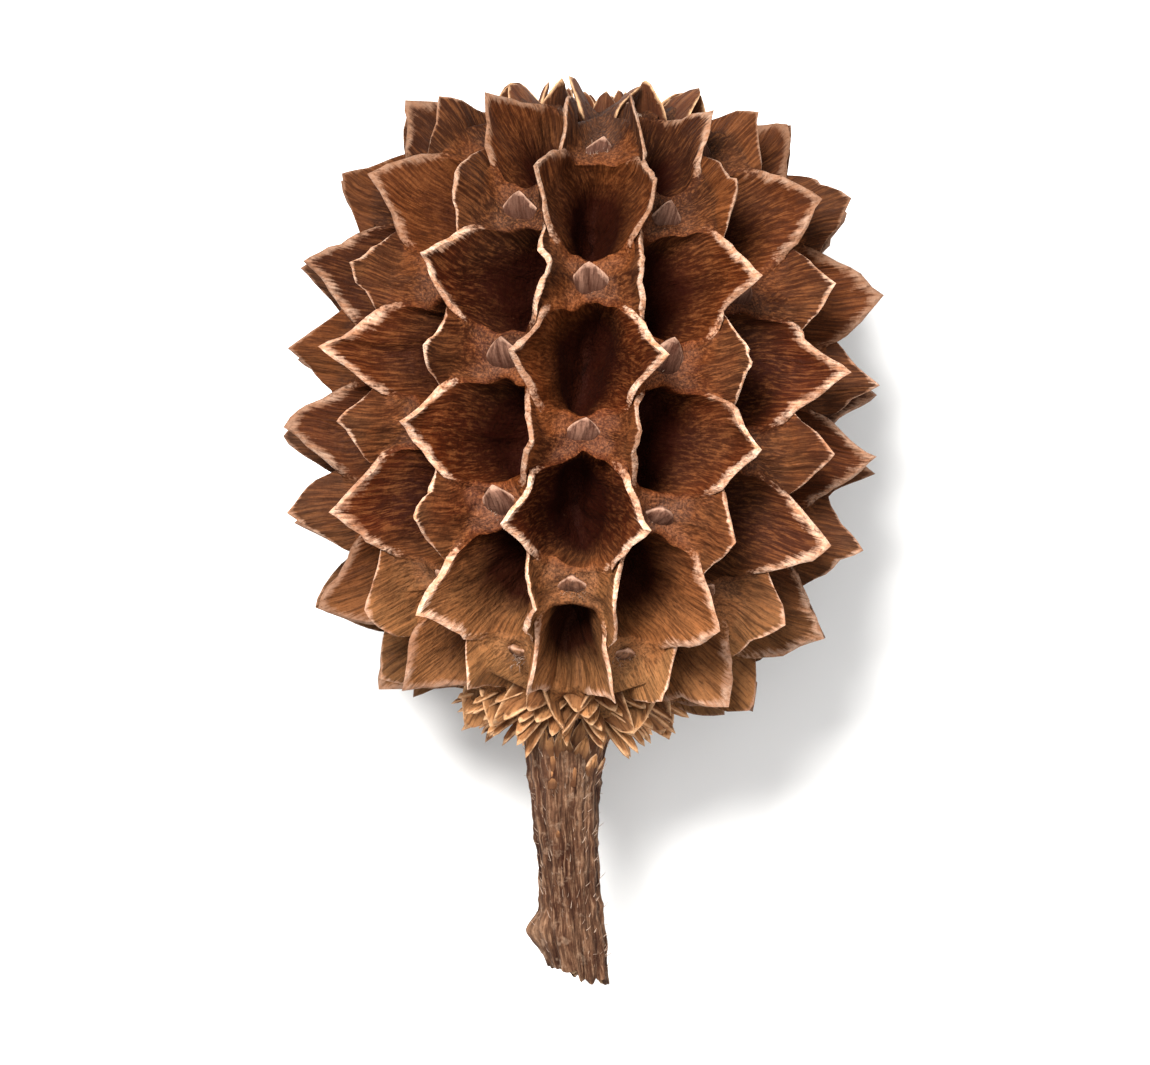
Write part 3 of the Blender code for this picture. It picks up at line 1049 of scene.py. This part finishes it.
def wood_outside(n, upward, fibres, fine_fibres, blotches):
    """The colour of a valve's back, with painted shade low at its foot, felt at its foot, grey near its tip
    and painted light, in tan, towards the stalk.
    """
    outside = n.mix(n.range(fibres, 0.3, 0.7), srgb(76, 40, 22), srgb(132, 85, 56))
    outside = n.mix(n.range(fine_fibres, 0.5, 0.75, 0.0, 0.6), outside, srgb(64, 35, 21))
    # Painted shade low on the valve's back, darkest at its foot by the groove
    outside = n.mix(n.range(upward, 0.0, 1.2, 0.75, 0.0), outside, srgb(50, 22, 10))
    felt = n.math("MULTIPLY", n.range(upward, 0.45, 0.05), n.range(blotches, 0.35, 0.6, 0.3, 0.75))
    outside = n.mix(felt, outside, srgb(134, 100, 86))
    outside = n.mix(n.range(upward, 1.2, 2.1, 0.0, 0.7), outside, srgb(86, 63, 48))
    # Painted light: the backs turn tan towards the stalk
    painted_light_towards_stalk = n.range(n.placed("Y"), *PAINTED_LIGHT_TAN_TOWARDS_STALK)
    return n.mix(n.math("MULTIPLY", painted_light_towards_stalk, 0.4), outside, srgb(196, 138, 88))


def wood_rim(n, tone, fine_fibres, patches, streaks, painted_shade_low_down):
    """The colour of a valve's worn edge, duller on some valves, with painted shade at the apex and low down
    on the flanks.
    """
    rim = n.mix(n.range(fine_fibres, 0.35, 0.65), srgb(216, 154, 116), srgb(255, 216, 188))
    rim = n.mix(n.range(patches, 0.48, 0.66, 0.0, 0.75), rim, srgb(156, 100, 68))
    rim = n.mix(n.range(tone, 0.55, 1.0, 0.0, 0.6), rim, srgb(140, 102, 80))
    rim = n.mix(n.range(streaks, 0.48, 0.66, 0.0, 0.45), rim, srgb(120, 74, 48))
    # Painted shade on the rims towards the apex
    rim = n.mix(n.range(n.placed("Y"), *PAINTED_SHADE_RIM_TOWARDS_APEX, 0.0, 0.55), rim, srgb(108, 76, 54))
    # Painted shade on the rims low down on the flanks
    return n.mix(n.math("MULTIPLY", painted_shade_low_down, 0.82), rim, srgb(104, 74, 56))


def wood_look():
    n = Nodes("cone_wood_fine")
    lip, deep, back, tone, upward = (n.number(name) for name in ("lip", "deep", "back", "tone", "upward"))
    fibres = n.noise(1.0, 5, 0.62, n.grain(3.2))
    fine_fibres = n.noise(1.0, 3, 0.6, n.grain(9.0))
    patches = n.noise(900, 4, 0.6)
    blotches = n.noise(2600, 5, 0.68)
    grit = n.noise(11000, 3, 0.7)
    streaks = n.noise(1.0, 3, 0.65, n.grain(20.0))
    # Painted shade low down on the head's flanks, used on the wood and on the rims
    painted_shade_low_down = n.range(n.placed("Z"), *PAINTED_SHADE_LOW_DOWN)

    inside = wood_inside(n, deep, upward, fine_fibres)
    outside = wood_outside(n, upward, fibres, fine_fibres, blotches)
    colour = n.mix(back, inside, outside)
    colour = n.mix(n.range(patches, 0.4, 0.7, 0.0, 0.5), colour, srgb(88, 36, 15))
    colour = n.mix(n.range(blotches, 0.54, 0.72, 0.0, 0.45), colour, srgb(146, 84, 48))
    # Painted light towards the stalk and painted shade towards the apex
    colour = painted_light_and_shade_along(n, colour, 0.7)
    colour = n.mix(n.range(fibres, 0.5, 0.75, 0.0, 0.55), colour, srgb(46, 19, 8))
    colour = n.mix(n.range(tone, 0.5, 1.0, 0.0, 0.3), colour, srgb(158, 88, 44))
    colour = n.mix(n.range(tone, 0.5, 0.0, 0.0, 0.4), colour, srgb(60, 29, 15))
    colour = n.mix(n.range(n.noise(260, 2, 0.5), 0.45, 0.65, 0.0, 0.3), colour, srgb(88, 64, 48))
    colour = n.mix(n.range(streaks, 0.47, 0.64, 0.0, 0.6), colour, srgb(40, 16, 7))
    colour = n.mix(n.range(streaks, 0.5, 0.34, 0.0, 0.3), colour, srgb(178, 112, 68))
    colour = n.mix(1.0, colour, (1.0, 0.96, 0.9, 1.0), "MULTIPLY")
    # Painted shade low down on the flanks
    colour = n.mix(n.math("MULTIPLY", painted_shade_low_down, 0.64), colour, srgb(48, 33, 23))
    # Deep down it is painted dark, as shade in the cup, whatever else lies on it
    colour = n.mix(n.range(deep, 0.2, 0.5, 0.0, 0.92), colour, srgb(39, 13, 5))
    worn = n.math("ADD", n.range(blotches, 0.3, 0.7, -0.3, 0.25), n.range(streaks, 0.35, 0.65, 0.17, -0.17))
    edge = n.range(n.math("ADD", lip, worn), 0.35, 0.8)
    rim = wood_rim(n, tone, fine_fibres, patches, streaks, painted_shade_low_down)
    colour = n.mix(n.math("MULTIPLY", edge, 0.95), colour, rim)
    colour = n.mix(n.range(grit, 0.5, 0.8, 0.0, 0.5), colour, srgb(52, 28, 17))

    normal = n.bumps(
        (fibres, 0.8, 0.00010), (fine_fibres, 0.8, 0.00006), (streaks, 0.7, 0.00003),
        (blotches, 0.5, 0.00008), (grit, 0.5, 0.00004),
    )
    n.shader.inputs["Specular IOR Level"].default_value = 0.08
    return n.done(colour, n.range(fibres, 0.3, 0.7, 0.75, 0.6), normal)


def scale_look(name, dark, light, edge):
    n = Nodes(name)
    lip, tone, upward = n.number("lip"), n.number("tone"), n.number("upward")
    fibres = n.noise(1.0, 5, 0.62, n.grain(5.0))
    fine_fibres = n.noise(1.0, 3, 0.6, n.grain(14.0))
    blotches = n.noise(2600, 5, 0.68)
    grit = n.noise(11000, 3, 0.7)
    colour = n.mix(n.range(fibres, 0.35, 0.65), dark, light)
    # Painted light towards the stalk and painted shade towards the apex
    colour = painted_light_and_shade_along(n, colour, 0.6)
    colour = n.mix(n.range(tone, 0.1, 1.0, 0.0, 0.65), colour, dark)
    colour = n.mix(n.range(fine_fibres, 0.46, 0.62, 0.0, 0.65), colour, srgb(50, 26, 15))
    # Darker towards each scale's root: painted shade where it meets the body
    colour = n.mix(n.range(upward, 0.75, 0.2, 0.0, 0.85), colour, srgb(54, 29, 18))
    worn = n.range(blotches, 0.3, 0.7, -0.35, 0.35)
    colour = n.mix(n.math("MULTIPLY", n.range(n.math("ADD", lip, worn), 0.4, 1.0), 0.85), colour, edge)
    colour = n.mix(n.range(grit, 0.5, 0.8, 0.0, 0.5), colour, dark)
    normal = n.bumps(
        (fibres, 0.8, 0.00009), (fine_fibres, 0.7, 0.00004), (blotches, 0.5, 0.00006),
        (grit, 0.5, 0.00004),
    )
    n.shader.inputs["Specular IOR Level"].default_value = 0.15
    return n.done(colour, n.range(fibres, 0.3, 0.7, 0.85, 0.65), normal)


def bark_look():
    n = Nodes("stalk_bark_fine")
    tone, lip = n.number("tone"), n.number("lip")
    fibres = n.noise(1.0, 6, 0.66, n.grain(6.0))
    fine_fibres = n.noise(1.0, 3, 0.6, n.grain(18.0))
    patches = n.noise(1100, 4, 0.6)
    blotches = n.noise(3200, 5, 0.68)
    grit = n.noise(11000, 3, 0.7)
    colour = n.mix(n.range(fibres, 0.36, 0.64), srgb(40, 21, 13), srgb(112, 80, 60))
    colour = n.mix(n.range(tone, 0.3, 0.95, 0.0, 0.5), colour, srgb(138, 104, 80))
    colour = n.mix(n.range(patches, 0.4, 0.64, 0.0, 0.65), colour, srgb(62, 32, 19))
    colour = n.mix(n.range(fine_fibres, 0.48, 0.64, 0.0, 0.6), colour, srgb(38, 22, 15))
    colour = n.mix(n.range(fine_fibres, 0.48, 0.34, 0.0, 0.4), colour, srgb(166, 130, 102))
    colour = n.mix(n.range(blotches, 0.55, 0.7, 0.0, 0.45), colour, srgb(172, 142, 118))
    torn_wood = n.mix(n.range(tone, 0.2, 0.8), srgb(84, 54, 34), srgb(206, 168, 128))
    colour = n.mix(n.math("MULTIPLY", lip, 0.85), colour, torn_wood)
    colour = n.mix(n.range(grit, 0.48, 0.78, 0.0, 0.55), colour, srgb(48, 31, 24))
    normal = n.bumps(
        (fibres, 0.9, 0.00012), (fine_fibres, 0.8, 0.00004), (blotches, 0.6, 0.00008),
        (grit, 0.6, 0.00004),
    )
    n.shader.inputs["Specular IOR Level"].default_value = 0.12
    return n.done(colour, n.range(fibres, 0.3, 0.7, 0.9, 0.7), normal)


def hair_look():
    n = Nodes("hair_pale")
    tone = n.number("tone")
    grit = n.noise(9000, 2, 0.5)
    colour = n.mix(tone, srgb(116, 88, 70), srgb(180, 154, 134))
    return n.done(colour, 0.8, n.bumps((grit, 0.2, 0.00001)))


def floor_look():
    n = Nodes("floor_pale")
    grain = n.noise(300, 3, 0.5)
    colour = n.mix(n.range(grain, 0.3, 0.7), srgb(247, 247, 246), srgb(250, 250, 249))
    return n.done(colour, 0.9, n.bumps((grain, 0.05, 0.00005)))


# The stage: floor, lights and camera


def make_stage():
    bpy.ops.mesh.primitive_plane_add(size=FLOOR_SIZE, location=(0.0, 0.0, 0.0))
    floor = bpy.context.object
    floor.name = "floor"
    floor.data.materials.append(floor_look())

    def softbox(name, size, energy, place, colour=(1.0, 1.0, 1.0)):
        lamp = bpy.data.lights.new(name, "AREA")
        lamp.shape = "DISK"
        lamp.size = size
        lamp.energy = energy
        lamp.color = colour
        made = bpy.data.objects.new(name, lamp)
        made.location = place
        made.rotation_euler = (Vector(place) - Vector(LIGHTS_AIM)).to_track_quat("Z", "Y").to_euler()
        bpy.context.scene.collection.objects.link(made)

    softbox("key", 0.10, 1.75, (-0.065, 0.09, 0.265), colour=(1.0, 0.985, 0.96))
    softbox("top", 0.30, 0.5, (0.06, -0.04, 0.30))

    world = bpy.data.worlds.new("studio")
    world.use_nodes = True
    world.node_tree.nodes["Background"].inputs["Color"].default_value = (1.0, 1.0, 1.0, 1.0)
    world.node_tree.nodes["Background"].inputs["Strength"].default_value = WORLD_STRENGTH
    bpy.context.scene.world = world
    bpy.context.scene.view_settings.view_transform = "Standard"


def make_camera():
    low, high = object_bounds()
    middle = (Vector(low) + Vector(high)) / 2
    data = bpy.data.cameras.new("camera")
    data.lens = data.sensor_width * CAMERA_DISTANCE / VIEW_WIDTH
    data.clip_start = 0.01
    camera = bpy.data.objects.new("camera", data)
    elevation = math.radians(CAMERA_ELEVATION)
    back = Vector((0.0, -math.cos(elevation), math.sin(elevation)))
    camera.location = middle + back * CAMERA_DISTANCE
    camera.rotation_euler = (math.radians(90 - CAMERA_ELEVATION), 0.0, 0.0)
    camera.rotation_euler.rotate_axis("Z", math.radians(CAMERA_ROLL))
    bpy.context.scene.collection.objects.link(camera)
    bpy.context.scene.camera = camera


make_camera()
make_head(wood_look())
make_bracts(scale_look("bract_wood", srgb(86, 54, 42), srgb(162, 120, 100), srgb(198, 156, 132)))
make_end_scales(scale_look("end_scale_wood", srgb(88, 46, 26), srgb(160, 104, 66), srgb(226, 178, 134)))
make_stalk(bark_look())
make_stalk_scales(scale_look("stalk_scale_wood", srgb(104, 64, 42), srgb(176, 126, 88), srgb(222, 180, 140)))
make_hairs(hair_look())
make_stage()
